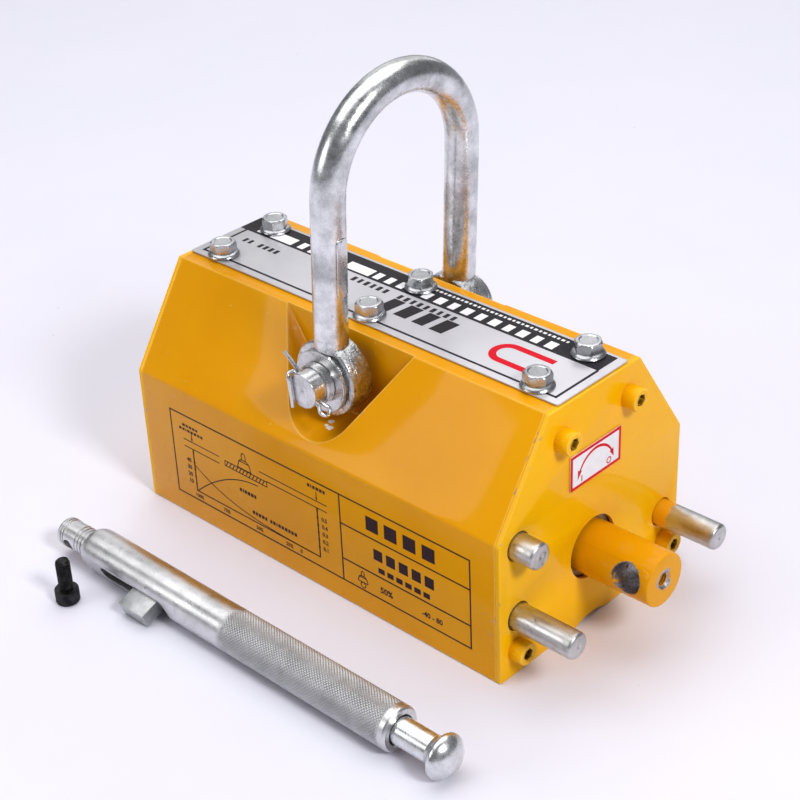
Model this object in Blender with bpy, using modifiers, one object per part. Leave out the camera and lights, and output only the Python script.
"""Permanent lifting magnet with its shackle, and its switching handle laid beside it.

Metres, +Z up. The origin is the centre of the working face that the magnet stands on.
+X points along the rotor towards the switching hub, +Y towards the rear pole.
"""
from math import acos, asin, cos, pi, radians, sin, sqrt, tan

import bmesh
import bpy
from mathutils import Matrix, Vector

# ---- driving dimensions ----
GAP = 0.0003                    # clearance between touching pieces

BODY_LENGTH = 0.256             # the poles, along X
BODY_WIDTH = 0.144
TOP_WIDTH = 0.070
BODY_HEIGHT = 0.138
SIDE_HEIGHT = 0.082             # height of the upright part of a side
CORNER_RADIUS = 0.0025

SPLIT_HALF = 0.012              # half the non-magnetic gap between the poles
ROTOR_HEIGHT = 0.044            # rotor axis above the working face
ROTOR_RADIUS = 0.0378
CHAMBER_RADIUS = 0.0385
CORE_HALF = 0.1037              # half the length of the rotor core
MAGNET_HALF = 0.010             # half the rotor magnet's thickness
MAGNET_REACH = 0.027            # half the rotor magnet's height
STATOR_BOTTOM = 0.083
STATOR_TOP = 0.100

PLATE_THICKNESS = 0.0027        # end plates
PLATE_OUTER = BODY_LENGTH / 2 + GAP + PLATE_THICKNESS
BRIDGE_HALF = 0.026
BRIDGE_THICKNESS = 0.004

HUB_RADIUS = 0.0145
HUB_END = 0.175                 # X of the hub's end face
HUB_HOLE_RADIUS = 0.0175        # hole in the end plate round the hub
CROSS_HOLE_X = 0.162
CROSS_HOLE_RADIUS = 0.0083
LOCK_SCREW_HOLE_RADIUS = 0.0043
REST_ANGLE = radians(170.8)     # the cross hole's direction from +Y towards +Z, switched on

STOP_PIN_RADIUS = 0.0072
STOP_PIN_Y = 0.058
STOP_PIN_Z = 0.0345
STOP_PIN_START = 0.113
LOCK_PIN_Z = 0.076
STOP_PIN_END = 0.168
LOCK_PIN_END = 0.145

COVER_SCREWS = ((0.0260, 0.1205), (0.060, 0.016))   # half spacing in Y, height
SCREW_HOLE_RADIUS = 0.0042
SCREW_HOLE_START = 0.112
FLANGE_BOLT_X = 0.111
FLANGE_BOLT_Y = 0.0195
BOLT_LENGTH = 0.012
BOLT_SEAT = BODY_HEIGHT + 0.0016    # underside of the flange bolts' heads
BOLT_HOLE_RADIUS = 0.0043

BLOCK_START = 0.1126            # inner face of the bearing blocks
FLANGE_START = CORE_HALF + GAP  # flanges at the two ends of the rotor core
FLANGE_END = 0.112
FLANGE_RADIUS = 0.0375
STUB_RADIUS = 0.012
STUB_END = -0.1275
ROTOR_SCREW_Y = 0.024
ROTOR_SCREW_LENGTH = 0.018
ROTOR_SCREW_RADIUS = 0.003

PIN_HEIGHT = 0.117              # shackle pin axis
PIN_RADIUS = 0.0095
PIN_FRONT = 0.0700
EYE_INNER_FACE = 0.0395
EYE_OUTER_FACE = 0.054
EYE_RADIUS = 0.0206
LEG_Y = 0.0485
BAR_RADIUS = 0.0089
ARC_HEIGHT = 0.098              # centre of the crown's arc above the pin
SHACKLE_LEAN = radians(2.9)
WASHER_RADIUS = 0.0165
WASHER_THICKNESS = 0.003
COLLAR_RADIUS = 0.0109
COLLAR_END = -0.0620            # Y of the collar's front face

SPLIT_Y = -0.0652
SPLIT_ANGLE = radians(-50)      # of the split pin's own Z from the vertical, about Y
SPLIT_HOLE_RADIUS = 0.0026
SPLIT_WIRE = 0.00105

POCKET_FLOOR = 0.0345           # distance of the pocket's floor from the middle plane
POCKET_BOTTOM = 0.0875
POCKET_RADIUS = 0.0247
POCKET_SLOPE = radians(32)      # of the pocket's sides, from the vertical

HANDLE_Y = -0.1375
HANDLE_RADIUS = 0.012
HANDLE_ROLL = radians(21)       # how far below level the latch dog points
BORE_RADIUS = 0.008
BORE_START = -0.088
SPIGOT_RADIUS = 0.008
SPIGOT_END = -0.125
SPIGOT_SHOULDER = -0.101
FULL_START = -0.0955            # where the handle reaches its full radius
FLAT_DEPTH = 0.010              # distance of the milled flat from the handle's axis
SLOT_ENDS_X = (-0.080, -0.032)  # centres of the slot's round ends
DOG_HALF_WIDTH = 0.0044
DOG_REACH = 0.0215
DOG_LOW_X = -0.056
DOG_HIGH_X = -0.037
SPIGOT_HOLE_X = -0.1155
SPIGOT_HOLE_RADIUS = 0.0043
TUBE_END = 0.126
KNOB_START = 0.147
ROD_RADIUS = 0.0073
ROD_THIN_RADIUS = 0.004

LOOSE_SCREW_PLACE = (-0.0878, -0.1681)

# Rotations that lay a piece's own Z along a world axis.
ALONG_X = (0, pi / 2, 0)
ALONG_Y = (-pi / 2, 0, 0)
# Rotations for a flat outline drawn in (Y, Z) or (X, Z) and extruded across it.
OUTLINE_YZ = (pi / 2, 0, pi / 2)
OUTLINE_XZ = (pi / 2, 0, 0)


def clear_scene():
    for old in list(bpy.data.objects):
        bpy.data.objects.remove(old, do_unlink=True)


def new_collection(name):
    group = bpy.data.collections.new(name)
    bpy.context.scene.collection.children.link(group)
    return group


clear_scene()
PARTS = new_collection("lifting_magnet")
CUTTERS = new_collection("cutters")


def material(name, colour, roughness, metallic):
    made = bpy.data.materials.new(name)
    made.use_nodes = True
    shader = made.node_tree.nodes["Principled BSDF"]
    shader.inputs["Base Color"].default_value = (*colour, 1)
    shader.inputs["Roughness"].default_value = roughness
    shader.inputs["Metallic"].default_value = metallic
    made.diffuse_color = (*colour, 1)
    return made


PAINT = material("yellow_paint", (0.86, 0.48, 0.02), 0.38, 0.0)
ZINC = material("zinc_plate", (0.70, 0.71, 0.71), 0.30, 1.0)
STEEL = material("bare_steel", (0.55, 0.54, 0.52), 0.35, 1.0)
BLACK_STEEL = material("black_oxide", (0.02, 0.02, 0.025), 0.45, 0.6)
ALUMINIUM = material("aluminium", (0.78, 0.78, 0.79), 0.35, 1.0)
BRONZE = material("bronze", (0.60, 0.40, 0.18), 0.35, 1.0)
MAGNET = material("magnet", (0.25, 0.25, 0.27), 0.40, 0.9)
LABEL = material("label", (0.90, 0.89, 0.87), 0.45, 0.0)
SPRING = material("spring_steel", (0.45, 0.46, 0.48), 0.30, 1.0)


# ---- helpers ----
def place(thing, location, rotation, parent=None):
    thing.location = location
    thing.rotation_euler = rotation
    thing.parent = parent


def add_object(name, mesh, finish, location=(0, 0, 0), rotation=(0, 0, 0), parent=None):
    thing = bpy.data.objects.new(name, mesh)
    if finish and not mesh.materials:
        mesh.materials.append(finish)
    place(thing, location, rotation, parent)
    (PARTS if finish else CUTTERS).objects.link(thing)
    if not finish:
        thing.hide_render = True
        thing.display_type = "WIRE"
    return thing


def axis_empty(name, location, rotation=(0, 0, 0)):
    empty = bpy.data.objects.new(name, None)
    place(empty, location, rotation)
    PARTS.objects.link(empty)
    return empty


def shade_round(mesh):
    mesh.shade_smooth()
    mesh.set_sharp_from_angle(angle=radians(35))


def turned(name, profile, finish, steps=24, **where):
    """A turned solid: profile points are (radius, height), down the outer side.

    A profile that starts and ends on the axis is solid; any other one is a ring.
    """
    mesh = bpy.data.meshes.new(name)
    count = len(profile)
    on_axis = profile[0][0] == 0 and profile[-1][0] == 0
    edges = [(i, i + 1) for i in range(count - 1)] + ([] if on_axis else [(count - 1, 0)])
    mesh.from_pydata([(r, 0, h) for r, h in profile], edges, [])
    thing = add_object(name, mesh, finish, **where)
    screw = thing.modifiers.new("turn", "SCREW")
    screw.steps = screw.render_steps = steps
    screw.use_merge_vertices = True
    screw.merge_threshold = 0.000001
    settled(thing)
    return thing


def settled(thing):
    """Apply the modifiers, so that copies share the mesh and later cuts start from it."""
    bpy.context.view_layer.update()
    depsgraph = bpy.context.evaluated_depsgraph_get()
    mesh = bpy.data.meshes.new_from_object(thing.evaluated_get(depsgraph))
    work = bmesh.new()
    work.from_mesh(mesh)
    bmesh.ops.remove_doubles(work, verts=work.verts, dist=0.000002)
    bmesh.ops.recalc_face_normals(work, faces=work.faces)
    work.to_mesh(mesh)
    work.free()
    shade_round(mesh)
    mesh.name = thing.name
    thing.modifiers.clear()
    thing.data = mesh
    return thing


def curve_to_mesh(name, curve, finish, **where):
    guide = bpy.data.objects.new(name + "_curve", curve)
    CUTTERS.objects.link(guide)
    bpy.context.view_layer.update()
    depsgraph = bpy.context.evaluated_depsgraph_get()
    mesh = bpy.data.meshes.new_from_object(guide.evaluated_get(depsgraph))
    bpy.data.objects.remove(guide, do_unlink=True)
    mesh.materials.clear()
    return settled(add_object(name, mesh, finish, **where))


def slab(name, loops, thickness, finish, **where):
    """A flat plate: its outline and any holes are loops of 2D points."""
    curve = bpy.data.curves.new(name, "CURVE")
    curve.dimensions = "2D"
    curve.fill_mode = "BOTH"
    curve.extrude = thickness / 2
    for loop in loops:
        spline = curve.splines.new("POLY")
        spline.points.add(len(loop) - 1)
        spline.use_cyclic_u = True
        for point, (across, up) in zip(spline.points, loop):
            point.co = (across, up, 0, 1)
    return curve_to_mesh(name, curve, finish, **where)


def tube(name, points, radius, finish, resolution=2, **where):
    curve = bpy.data.curves.new(name, "CURVE")
    curve.dimensions = "3D"
    curve.bevel_depth = radius
    curve.bevel_resolution = resolution
    curve.use_fill_caps = True
    spline = curve.splines.new("POLY")
    spline.points.add(len(points) - 1)
    for point, spot in zip(spline.points, points):
        point.co = (*spot, 1)
    return curve_to_mesh(name, curve, finish, **where)


def block(name, low, high, finish, **where):
    mesh = bpy.data.meshes.new(name)
    work = bmesh.new()
    bmesh.ops.create_cube(work, size=1)
    centre = (Vector(low) + Vector(high)) / 2
    size = Vector(high) - Vector(low)
    bmesh.ops.transform(work, verts=work.verts, matrix=Matrix.LocRotScale(centre, None, size))
    work.to_mesh(mesh)
    work.free()
    return add_object(name, mesh, finish, **where)


def rod(name, radius, low, high, finish=None, steps=16, **where):
    """A plain cylinder from height low to height high of its own Z."""
    return turned(name, [(0, high), (radius, high), (radius, low), (0, low)],
                  finish, steps, **where)


def boolean(thing, tool, operation="DIFFERENCE"):
    step = thing.modifiers.new(tool.name, "BOOLEAN")
    step.operation = operation
    step.solver = "EXACT"
    step.object = tool


def cut(thing, *tools):
    for tool in tools:
        boolean(thing, tool)
    return thing


def arc(centre, radius, start, end, count):
    """Points on a circle, from angle start to angle end."""
    return [(centre[0] + radius * cos(start + (end - start) * i / (count - 1)),
             centre[1] + radius * sin(start + (end - start) * i / (count - 1)))
            for i in range(count)]


def circle(centre, radius, count=16):
    return arc(centre, radius, 0, 2 * pi, count + 1)[:-1]


def rounded(corners, radius, count=4):
    """A closed outline with each corner turned into an arc."""
    outline = []
    total = len(corners)
    for i in range(total):
        corner = Vector(corners[i])
        before = (Vector(corners[i - 1]) - corner).normalized()
        after = (Vector(corners[(i + 1) % total]) - corner).normalized()
        half = acos(max(-1, min(1, before.dot(after)))) / 2
        centre = corner + (before + after).normalized() * (radius / sin(half))
        first = corner + before * (radius / tan(half)) - centre
        last = corner + after * (radius / tan(half)) - centre
        turn = first.angle_signed(last)
        for step in range(count):
            spun = Matrix.Rotation(-turn * step / (count - 1), 2) @ first
            outline.append(tuple(centre + spun))
    return outline


def hexagon(across_flats):
    return circle((0, 0), across_flats / sqrt(3), 6)


# ---- the body ----
def body_corners():
    side, top = BODY_WIDTH / 2, TOP_WIDTH / 2
    return [(-side, 0), (side, 0), (side, SIDE_HEIGHT), (top, BODY_HEIGHT),
            (-top, BODY_HEIGHT), (-side, SIDE_HEIGHT)]


def pole_outline(side):
    """Section of one pole, side -1 in front or 1 behind, with half the rotor chamber."""
    edge = asin(SPLIT_HALF / CHAMBER_RADIUS)
    chamber = arc((0, ROTOR_HEIGHT), CHAMBER_RADIUS, pi / 2 - edge, -pi / 2 + edge, 19)
    outer = rounded(body_corners(), CORNER_RADIUS)
    outer = [point for point in outer if point[0] > SPLIT_HALF]
    rebate = BODY_HEIGHT - BRIDGE_THICKNESS - GAP
    inner = [(BRIDGE_HALF + GAP, BODY_HEIGHT), (BRIDGE_HALF + GAP, rebate), (SPLIT_HALF, rebate)]
    loop = [(SPLIT_HALF, 0)] + outer + inner + chamber
    return [(side * across, up) for across, up in loop]


def pocket_cutter(side):
    """The V-shaped recess in a sloping side that the shackle's eye turns in."""
    centre = POCKET_BOTTOM + POCKET_RADIUS
    above = BODY_HEIGHT + 0.010
    bottom = arc((0, centre), POCKET_RADIUS, pi + POCKET_SLOPE, 2 * pi - POCKET_SLOPE, 11)
    first_x, first_z = bottom[0]
    reach = -first_x + (above - first_z) * tan(POCKET_SLOPE)
    outline = [(-reach, above)] + bottom + [(reach, above)]
    outside = 0.080
    depth = outside - POCKET_FLOOR
    return slab(f"pocket_{side}", [outline], depth, None, rotation=OUTLINE_XZ,
                location=(0, side * (POCKET_FLOOR + depth / 2), 0))


def make_pole(name, side, pin_bore):
    pole = slab(name, [pole_outline(side)], BODY_LENGTH, PAINT, rotation=OUTLINE_YZ)
    cut(pole, pocket_cutter(side), pin_bore)
    for x in (-FLANGE_BOLT_X, 0, FLANGE_BOLT_X):
        low = BOLT_SEAT - BOLT_LENGTH - 2 * GAP
        cut(pole, rod(f"{name}_bolt_{x}", 0.0042, low, BODY_HEIGHT,
                      location=(x, side * FLANGE_BOLT_Y, 0)))
    beyond = BODY_LENGTH / 2 + 0.007
    for end in (-1, 1):
        for half, height in COVER_SCREWS:
            cut(pole, rod(f"{name}_screw_{end}_{height}", SCREW_HOLE_RADIUS,
                          SCREW_HOLE_START * end, beyond * end,
                          rotation=ALONG_X, location=(0, side * half, height)))
    heights = (STOP_PIN_Z, LOCK_PIN_Z) if side < 0 else (STOP_PIN_Z,)
    for height in heights:
        cut(pole, rod(f"{name}_stop_{height}", STOP_PIN_RADIUS + GAP,
                      STOP_PIN_START - GAP, beyond,
                      rotation=ALONG_X, location=(0, side * STOP_PIN_Y, height)))


def make_spacers(pin_bore):
    inner = SPLIT_HALF - GAP
    end = BODY_LENGTH / 2 - GAP
    strip_top, spacer_bottom = 0.0048, STATOR_TOP + GAP
    block("bottom_strip", (-end, -inner, 0), (end, inner, strip_top), ALUMINIUM)
    top = BODY_HEIGHT - BRIDGE_THICKNESS - GAP
    spacer = block("top_spacer", (-end, -inner, spacer_bottom), (end, inner, top - GAP),
                   ALUMINIUM)
    cut(spacer, pin_bore)
    holes = [circle((x, y), BOLT_HOLE_RADIUS) for x in (-FLANGE_BOLT_X, 0, FLANGE_BOLT_X)
             for y in (-FLANGE_BOLT_Y, FLANGE_BOLT_Y)]
    plate = [(-end, -BRIDGE_HALF), (end, -BRIDGE_HALF), (end, BRIDGE_HALF), (-end, BRIDGE_HALF)]
    slab("bridge_plate", [plate] + holes, BRIDGE_THICKNESS, STEEL,
         location=(0, 0, BODY_HEIGHT - BRIDGE_THICKNESS / 2))
    half_x, half_y, thickness, corner = 0.1295, 0.0273, 0.001, 0.0015
    face = rounded([(-half_x, -half_y), (half_x, -half_y), (half_x, half_y), (-half_x, half_y)],
                   corner)
    slab("nameplate", [face] + holes, thickness, ALUMINIUM,
         location=(0, 0, BODY_HEIGHT + GAP + thickness / 2))


def make_stator_magnets():
    count, reach, spacing = 4, 0.1277, 0.0005
    length = 2 * reach / count
    for i in range(count):
        low = -reach + i * length
        block(f"stator_magnet_{i + 1}", (low + spacing, GAP - SPLIT_HALF, STATOR_BOTTOM),
              (low + length - spacing, SPLIT_HALF - GAP, STATOR_TOP), MAGNET)


def make_flange_bolts():
    """Hexagon bolts with a flange: M8, 13 across the flats."""
    shank = [(0, 0.0020), (0.0079, 0.0018), (0.0088, 0.0009), (0.0088, 0.0002), (0.0085, 0),
             (0.0039, 0), (0.0039, -BOLT_LENGTH + 0.0006), (0.0034, -BOLT_LENGTH),
             (0, -BOLT_LENGTH)]
    first = turned("flange_bolt_1", shank, ZINC, 18)
    head = slab("hexagon", [hexagon(0.013)], 0.007, None)
    head.location = (0, 0, 0.0045)
    crown = turned("crown", [(0, 0.0080), (0.0060, 0.0080), (0.0077, 0.0071), (0.0083, 0.0005),
                             (0, 0.0005)], None, 18)
    boolean(head, crown, "INTERSECT")
    settled(head)
    boolean(first, head, "UNION")
    settled(first)
    places = [(x, y) for x in (-FLANGE_BOLT_X, 0, FLANGE_BOLT_X)
              for y in (-FLANGE_BOLT_Y, FLANGE_BOLT_Y)]
    for i, (x, y) in enumerate(places):
        bolt = first if i == 0 else add_object(f"flange_bolt_{i + 1}", first.data, ZINC)
        bolt.location = (x, y, BOLT_SEAT)


def socket_screw(name, head_radius, head_height, shank_radius, length, key, finish):
    """A socket head cap screw: its head above the origin, its shank below."""
    edge = 0.0006
    profile = [(0, head_height), (head_radius - edge, head_height),
               (head_radius, head_height - edge), (head_radius, 0), (shank_radius, 0),
               (shank_radius, -length + edge), (shank_radius - edge, -length), (0, -length)]
    screw = turned(name, profile, finish, 18)
    depth = 0.0039
    socket = slab(name + "_socket", [hexagon(key)], 2 * depth, None,
                  location=(0, 0, head_height))
    cut(screw, socket)
    return settled(screw)


def make_cover_screws():
    length = 0.017
    first = socket_screw("cover_screw_1", 0.0062, 0.008, 0.0039, length, 0.006, PAINT)
    number = 0
    for end in (1, -1):
        for half, height in COVER_SCREWS:
            for side in (-1, 1):
                number += 1
                screw = first if number == 1 else add_object(f"cover_screw_{number}", first.data,
                                                             PAINT)
                screw.location = (end * (PLATE_OUTER + GAP), side * half, height)
                screw.rotation_euler = (0, end * pi / 2, 0)


def make_end_plates():
    screws = [circle((side * half, height), 0.0043) for half, height in COVER_SCREWS
              for side in (-1, 1)]
    notch_half, notch_depth = 0.0125, 0.0026
    notch = [(-notch_half, 0), (-notch_half / 3, notch_depth), (notch_half / 3, notch_depth),
             (notch_half, 0)]
    outline = rounded(body_corners(), CORNER_RADIUS)
    middle = next(i for i, point in enumerate(outline) if point[0] > 0)
    outline = outline[:middle] + notch + outline[middle:]
    pins = [circle(centre, STOP_PIN_RADIUS + 0.0007) for centre in
            ((-STOP_PIN_Y, LOCK_PIN_Z), (-STOP_PIN_Y, STOP_PIN_Z), (STOP_PIN_Y, STOP_PIN_Z))]
    hub = [circle((0, ROTOR_HEIGHT), HUB_HOLE_RADIUS, 28)]
    centre = PLATE_OUTER - PLATE_THICKNESS / 2
    slab("hub_end_plate", [outline] + screws + pins + hub, PLATE_THICKNESS, PAINT,
         rotation=OUTLINE_YZ, location=(centre, 0, 0))
    slab("blind_end_plate", [outline] + screws, PLATE_THICKNESS, PAINT,
         rotation=OUTLINE_YZ, location=(-centre, 0, 0))


def make_switch_label():
    half_y, low, high, thickness, corner = 0.0198, 0.0868, 0.1066, 0.0005, 0.0008
    face = rounded([(-half_y, low), (half_y, low), (half_y, high), (-half_y, high)], corner)
    slab("switch_label", [face], thickness, LABEL, rotation=OUTLINE_YZ,
         location=(PLATE_OUTER + GAP + thickness / 2, 0, 0))


def make_stop_pins():
    edge, dome = 0.0012, 0.0004
    for name, y, z, end in (("stop_pin_on", -STOP_PIN_Y, STOP_PIN_Z, STOP_PIN_END),
                            ("stop_pin_off", STOP_PIN_Y, STOP_PIN_Z, STOP_PIN_END),
                            ("lock_pin", -STOP_PIN_Y, LOCK_PIN_Z, LOCK_PIN_END)):
        profile = [(0, end + dome), (STOP_PIN_RADIUS * 0.6, end),
                   (STOP_PIN_RADIUS - edge, end - dome), (STOP_PIN_RADIUS, end - edge),
                   (STOP_PIN_RADIUS, STOP_PIN_START), (0, STOP_PIN_START)]
        turned(name, profile, STEEL, rotation=ALONG_X, location=(0, y, z))


# ---- the rotor ----
def make_bearings():
    end = BODY_LENGTH / 2 - GAP
    for name, bush, sign, shaft, wall in (
            ("hub_bearing_block", "hub_bush", 1, HUB_RADIUS, 0.0185),
            ("blind_bearing_block", "blind_bush", -1, STUB_RADIUS, 0.016)):
        low, high = sorted((sign * BLOCK_START, sign * end))
        outer = CHAMBER_RADIUS - GAP
        where = {"rotation": ALONG_X, "location": (0, 0, ROTOR_HEIGHT)}
        turned(name, [(outer, high), (outer, low), (wall + GAP, low), (wall + GAP, high)],
               ALUMINIUM, **where)
        turned(bush, [(wall, high), (wall, low), (shaft + GAP, low), (shaft + GAP, high)],
               BRONZE, **where)


def segment_outline(side):
    chord = MAGNET_HALF + GAP
    edge = asin(chord / ROTOR_RADIUS)
    half = arc((0, 0), ROTOR_RADIUS, -pi / 2 + edge, pi / 2 - edge, 17)
    return [(side * across, up) for across, up in half]


def filler_outline(side):
    edge = asin(MAGNET_HALF / ROTOR_RADIUS)
    top = arc((0, 0), ROTOR_RADIUS, pi / 2 - edge, pi / 2 + edge, 5)
    base = MAGNET_REACH + GAP
    return [(across, side * up) for across, up in
            [(MAGNET_HALF, base)] + top + [(-MAGNET_HALF, base)]]


def countersunk_profile(extra):
    head, shank, depth = 0.0058 + extra, ROTOR_SCREW_RADIUS + extra, 0.003
    end = -ROTOR_SCREW_LENGTH - extra
    return [(0, extra), (head, extra), (head, -extra), (shank, -depth - extra),
            (shank, end), (0, end)]


def make_rotor():
    axis = axis_empty("rotor_axis", (0, 0, ROTOR_HEIGHT))
    length = 2 * CORE_HALF
    bottom, beyond = FLANGE_END - ROTOR_SCREW_LENGTH - 0.002, FLANGE_START + 0.006
    holes = [rod(f"rotor_screw_hole_{end}_{side}", ROTOR_SCREW_RADIUS + GAP,
                 bottom * end, beyond * end,
                 rotation=ALONG_X, location=(0, side * ROTOR_SCREW_Y, ROTOR_HEIGHT))
             for end in (-1, 1) for side in (-1, 1)]
    for name, side in (("rotor_front_segment", -1), ("rotor_rear_segment", 1)):
        segment = slab(name, [segment_outline(side)], length, STEEL, rotation=OUTLINE_YZ,
                       parent=axis)
        cut(segment, *holes)
    block("rotor_magnet", (-CORE_HALF, -MAGNET_HALF, -MAGNET_REACH),
          (CORE_HALF, MAGNET_HALF, MAGNET_REACH), MAGNET, parent=axis)
    for name, side in (("rotor_upper_filler", 1), ("rotor_lower_filler", -1)):
        slab(name, [filler_outline(side)], length, ALUMINIUM, rotation=OUTLINE_YZ, parent=axis)

    edge = 0.0012
    hub = turned("hub_shaft", [
        (0, HUB_END), (HUB_RADIUS - edge, HUB_END), (HUB_RADIUS, HUB_END - edge),
        (HUB_RADIUS, FLANGE_END + GAP), (0, FLANGE_END + GAP)], PAINT, 24,
        rotation=ALONG_X, parent=axis)
    cross = rod("cross_hole", CROSS_HOLE_RADIUS, -0.030, 0.030, steps=16,
                location=(CROSS_HOLE_X, 0, ROTOR_HEIGHT),
                rotation=(REST_ANGLE - pi / 2, 0, 0))
    tapped = rod("lock_screw_hole", LOCK_SCREW_HOLE_RADIUS, CROSS_HOLE_X, HUB_END + 0.010, steps=12,
                 location=(0, 0, ROTOR_HEIGHT), rotation=ALONG_X)
    cut(hub, cross, tapped)
    disc = turned("rotor_end_disc", [
        (0, FLANGE_END), (FLANGE_RADIUS, FLANGE_END), (FLANGE_RADIUS, FLANGE_START),
        (0, FLANGE_START)], STEEL, rotation=ALONG_X, parent=axis)
    stub = turned("stub_shaft", [
        (0, -FLANGE_START), (FLANGE_RADIUS, -FLANGE_START), (FLANGE_RADIUS, -FLANGE_END),
        (STUB_RADIUS, -FLANGE_END), (STUB_RADIUS, STUB_END + edge),
        (STUB_RADIUS - edge, STUB_END), (0, STUB_END)], STEEL, rotation=ALONG_X, parent=axis)
    number = 0
    for end, shaft in ((1, disc), (-1, stub)):
        for side in (-1, 1):
            number += 1
            where = {"location": (end * (FLANGE_END - GAP), side * ROTOR_SCREW_Y, 0),
                     "rotation": (0, end * pi / 2, 0), "parent": axis}
            turned(f"rotor_screw_{number}", countersunk_profile(0), BLACK_STEEL, 16, **where)
            sink = turned(f"countersink_{number}", countersunk_profile(GAP), None, 16, **where)
            cut(shaft, sink)


# ---- the shackle ----
def bow_points():
    """Centre line of the bow's bar, from the front eye over the crown to the rear eye."""
    eye_middle = (EYE_INNER_FACE + EYE_OUTER_FACE) / 2
    foot = [(eye_middle, 0.014), (eye_middle + 0.0006, 0.018), (LEG_Y - 0.0006, 0.025),
            (LEG_Y, 0.030), (LEG_Y, ARC_HEIGHT)]
    front = [(0, -across, up) for across, up in foot]
    crown = [(0, across, up) for across, up in
             arc((0, ARC_HEIGHT), LEG_Y, pi, 0, 19)[1:-1]]
    rear = [(0, across, up) for across, up in reversed(foot)]
    return front + crown + rear


def make_shackle():
    axis = axis_empty("shackle_axis", (0, 0, PIN_HEIGHT), (0, SHACKLE_LEAN, 0))
    bow = tube("shackle_bow", bow_points(), BAR_RADIUS, ZINC, resolution=5, parent=axis)
    edge, bore = 0.0032, PIN_RADIUS + GAP
    middle = (EYE_INNER_FACE + EYE_OUTER_FACE) / 2
    half = (EYE_OUTER_FACE - EYE_INNER_FACE) / 2
    rim = [(EYE_RADIUS - edge + edge * sin(a), half - edge + edge * cos(a))
           for a in (0, pi / 4, pi / 2)]
    profile = [(0, half)] + rim + [(r, -h) for r, h in reversed(rim)] + [(0, -half)]
    where = {"rotation": ALONG_Y, "parent": axis}
    for side in (-1, 1):
        eye = turned(f"eye_{side}", profile, None, 32, location=(0, side * middle, 0), **where)
        boolean(bow, eye, "UNION")
    for side in (-1, 1):
        start = side * EYE_OUTER_FACE
        low, high = sorted((start, start + side * 0.010))
        cut(bow, rod(f"washer_seat_{side}", WASHER_RADIUS + 0.001, low, high, steps=32, **where))
    cut(bow, rod("eye_bore", bore, -0.080, 0.080, steps=24, **where))


def make_shackle_pin():
    where = {"rotation": ALONG_Y, "location": (0, 0, PIN_HEIGHT)}
    edge = 0.001
    head_low, head_high, head_radius = EYE_OUTER_FACE + GAP, 0.0613, 0.015
    pin = turned("shackle_pin", [
        (0, head_high), (head_radius - edge, head_high), (head_radius, head_high - edge),
        (head_radius, head_low), (PIN_RADIUS, head_low), (PIN_RADIUS, -PIN_FRONT + edge),
        (PIN_RADIUS - edge, -PIN_FRONT), (0, -PIN_FRONT)], ZINC, **where)
    hole = rod("split_pin_hole", SPLIT_HOLE_RADIUS, -0.020, 0.020, steps=16,
               location=(0, SPLIT_Y, PIN_HEIGHT), rotation=(0, SPLIT_ANGLE, 0))
    cut(pin, hole)
    bore = PIN_RADIUS + GAP
    high = -EYE_OUTER_FACE - GAP
    low = high - WASHER_THICKNESS
    turned("pin_washer", [(WASHER_RADIUS, high), (WASHER_RADIUS, low), (bore, low),
                          (bore, high)], ZINC, 32, **where)
    turned("pin_collar", [(COLLAR_RADIUS, low - GAP), (COLLAR_RADIUS, COLLAR_END),
                          (bore, COLLAR_END), (bore, low - GAP)], ZINC, **where)


def make_split_pin():
    """One bent wire: a straight leg, the eye, and a leg folded over the pin's end."""
    offset, eye_centre, eye_radius = 0.0012, -0.0142, 0.0029
    loop = [(eye_centre - eye_radius * cos(a), eye_radius * sin(a))
            for a in [radians(d) for d in (130, 100, 70, 40, 15, -15, -40, -70, -100, -130)]]
    leg_end, bend, eye_neck = 0.0225, 0.0102, -0.0095
    straight = [(leg_end, offset), (bend, offset), (eye_neck, offset)]
    back = [(eye_neck, -offset), (bend, -offset)]
    turn = Matrix.Rotation(SPLIT_ANGLE, 4, "Y")
    points = [turn @ Vector((0, across, along)) for along, across in straight + loop + back]
    # The folded leg, in the pin end's own frame: out of the hole, forward, then downward.
    fold = [(-0.0088, -0.0030, 0.0074), (-0.0086, -0.0050, 0.0074), (-0.0080, -0.0061, 0.0062),
            (-0.0072, -0.0062, 0.0030), (-0.0064, -0.0062, -0.0040), (-0.0058, -0.0062, -0.0105)]
    points += [Vector(point) for point in fold]
    tube("split_pin", points, SPLIT_WIRE, ZINC, resolution=2, location=(0, SPLIT_Y, PIN_HEIGHT))


# ---- the handle ----
def make_handle():
    axis = axis_empty("handle_axis", (0, HANDLE_Y, HANDLE_RADIUS), (HANDLE_ROLL, 0, 0))
    make_handle_tube(axis)
    make_spring(axis)
    make_plunger(axis)


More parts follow.
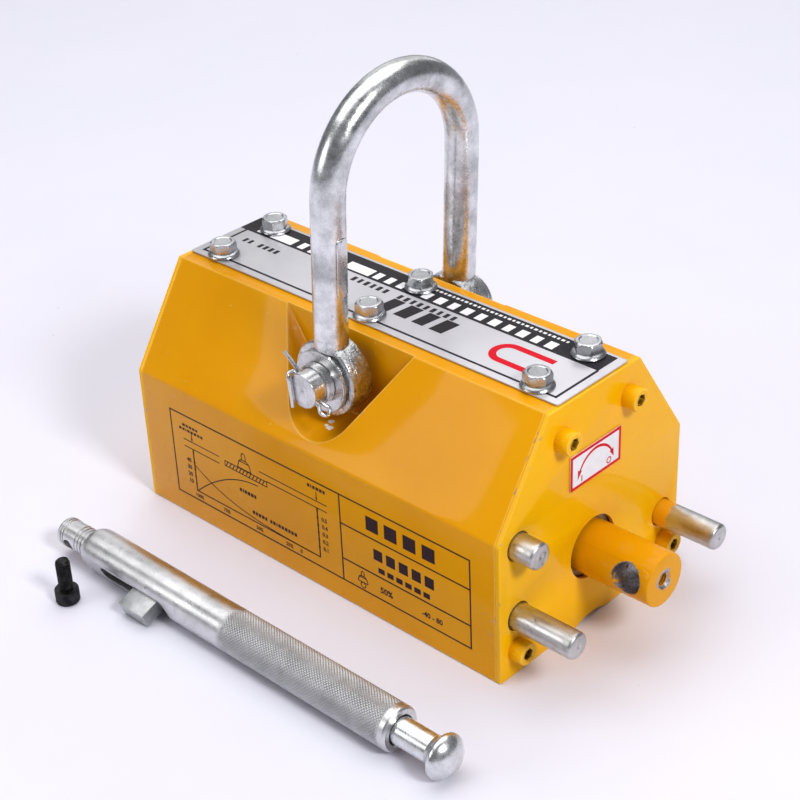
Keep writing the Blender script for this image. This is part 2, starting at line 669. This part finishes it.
def make_handle_tube(axis):
    end_chamfer, spigot_chamfer, shoulder_radius = 0.0016, 0.001, 0.0095
    handle = turned("handle_tube", [
        (0, BORE_START), (BORE_RADIUS, BORE_START), (BORE_RADIUS, TUBE_END),
        (HANDLE_RADIUS - 0.0012, TUBE_END), (HANDLE_RADIUS, TUBE_END - end_chamfer),
        (HANDLE_RADIUS, FULL_START), (shoulder_radius, SPIGOT_SHOULDER),
        (SPIGOT_RADIUS, SPIGOT_SHOULDER), (SPIGOT_RADIUS, SPIGOT_END + spigot_chamfer),
        (SPIGOT_RADIUS - spigot_chamfer, SPIGOT_END), (0, SPIGOT_END)],
        ZINC, 28, rotation=ALONG_X, parent=axis)
    flat_start, flat_end, run_out, clear = -0.110, -0.036, 0.014, 0.020
    milled = block("milled_flat", (flat_start, -clear, -clear / 2),
                   (flat_end, -FLAT_DEPTH, clear / 2), None, parent=axis)
    round_end = rod("flat_run_out", run_out, -clear / 2, clear / 2, steps=24, parent=axis,
                    location=(flat_end, -FLAT_DEPTH - run_out, 0))
    half = DOG_HALF_WIDTH + GAP
    first, last = SLOT_ENDS_X
    slot = block("dog_slot", (first, -clear, -half), (last, 0, half), None, parent=axis)
    slot_ends = [rod(f"slot_end_{x}", half, -clear, 0, parent=axis,
                     rotation=ALONG_Y, location=(x, 0, 0)) for x in SLOT_ENDS_X]
    spigot_hole = rod("spigot_hole", SPIGOT_HOLE_RADIUS, -clear, clear, parent=axis,
                      rotation=ALONG_Y, location=(SPIGOT_HOLE_X, 0, 0))
    cut(handle, milled, round_end, slot, *slot_ends, spigot_hole)


def make_plunger(axis):
    where = {"rotation": ALONG_X, "parent": axis}
    thick, thin = ROD_RADIUS, ROD_THIN_RADIUS
    neck_low, neck_high, tip, back = -0.002, 0.060, 0.152, -0.062
    push_rod = turned("push_rod", [
        (0, tip), (thin, tip), (thin, KNOB_START), (thick, KNOB_START - GAP),
        (thick, neck_high), (thin, neck_high), (thin, neck_low), (thick, neck_low),
        (thick, back), (0, back)], ZINC, **where)
    seat = block("dog_seat", (DOG_LOW_X - GAP, -0.012, -DOG_HALF_WIDTH - GAP),
                 (DOG_HIGH_X + GAP, 0.002, DOG_HALF_WIDTH + GAP), None, parent=axis)
    pin_radius, pin_half, bore_half = 0.0015, 0.0062, 0.010
    pin_place = ((DOG_LOW_X + DOG_HIGH_X) / 2, -0.003, 0)
    pin_bore = rod("dog_pin_bore", pin_radius + GAP, -bore_half, bore_half, parent=axis,
                   location=pin_place)
    cut(push_rod, seat, pin_bore)
    dog = block("latch_dog", (DOG_LOW_X, -DOG_REACH, -DOG_HALF_WIDTH),
                (DOG_HIGH_X, 0.0017, DOG_HALF_WIDTH), ZINC, parent=axis)
    soften = dog.modifiers.new("edges", "BEVEL")
    soften.width = 0.0008
    soften.segments = 2
    settled(dog)
    cut(dog, pin_bore)
    rod("dog_pin", pin_radius, -pin_half, pin_half, STEEL, 12, parent=axis, location=pin_place)

    bore = thin + GAP
    turned("push_knob", [
        (0, 0.1602), (0.0050, 0.1595), (0.0088, 0.1576), (0.0110, 0.1555), (0.0118, 0.1538),
        (0.0118, 0.1526), (0.0105, 0.1505), (0.0083, 0.1490), (0.0077, KNOB_START),
        (bore, KNOB_START), (bore, tip + GAP), (0, tip + GAP)], ZINC, **where)


def make_spring(axis):
    seat_outer, seat_inner, seat_length = 0.0077, 0.0045, 0.005
    turned("spring_seat", [(seat_outer, seat_length), (seat_outer, 0), (seat_inner, 0),
                           (seat_inner, seat_length)], STEEL, rotation=ALONG_X, parent=axis)
    turns, steps, coil, wire = 7, 10, 0.0058, 0.0007
    low, high = 0.0062, 0.0590
    points = []
    for i in range(turns * steps + 1):
        share = i / (turns * steps)
        angle = 2 * pi * turns * share
        points.append((low + (high - low) * share, coil * cos(angle), coil * sin(angle)))
    tube("handle_spring", points, wire, SPRING, resolution=2, parent=axis)


def make_loose_screw():
    head_height = 0.008
    screw = socket_screw("handle_screw", 0.0065, head_height, 0.004, 0.018, 0.006, BLACK_STEEL)
    screw.location = (*LOOSE_SCREW_PLACE, head_height)
    screw.rotation_euler = (pi, 0, 0)


PIN_BORE = rod("pin_bore", PIN_RADIUS + GAP, -0.080, 0.080, steps=24,
               rotation=ALONG_Y, location=(0, 0, PIN_HEIGHT))
make_pole("front_pole", -1, PIN_BORE)
make_pole("rear_pole", 1, PIN_BORE)
make_spacers(PIN_BORE)
make_stator_magnets()
make_flange_bolts()
make_end_plates()
make_cover_screws()
make_switch_label()
make_stop_pins()
make_bearings()
make_rotor()
make_shackle()
make_shackle_pin()
make_split_pin()
make_handle()
make_loose_screw()
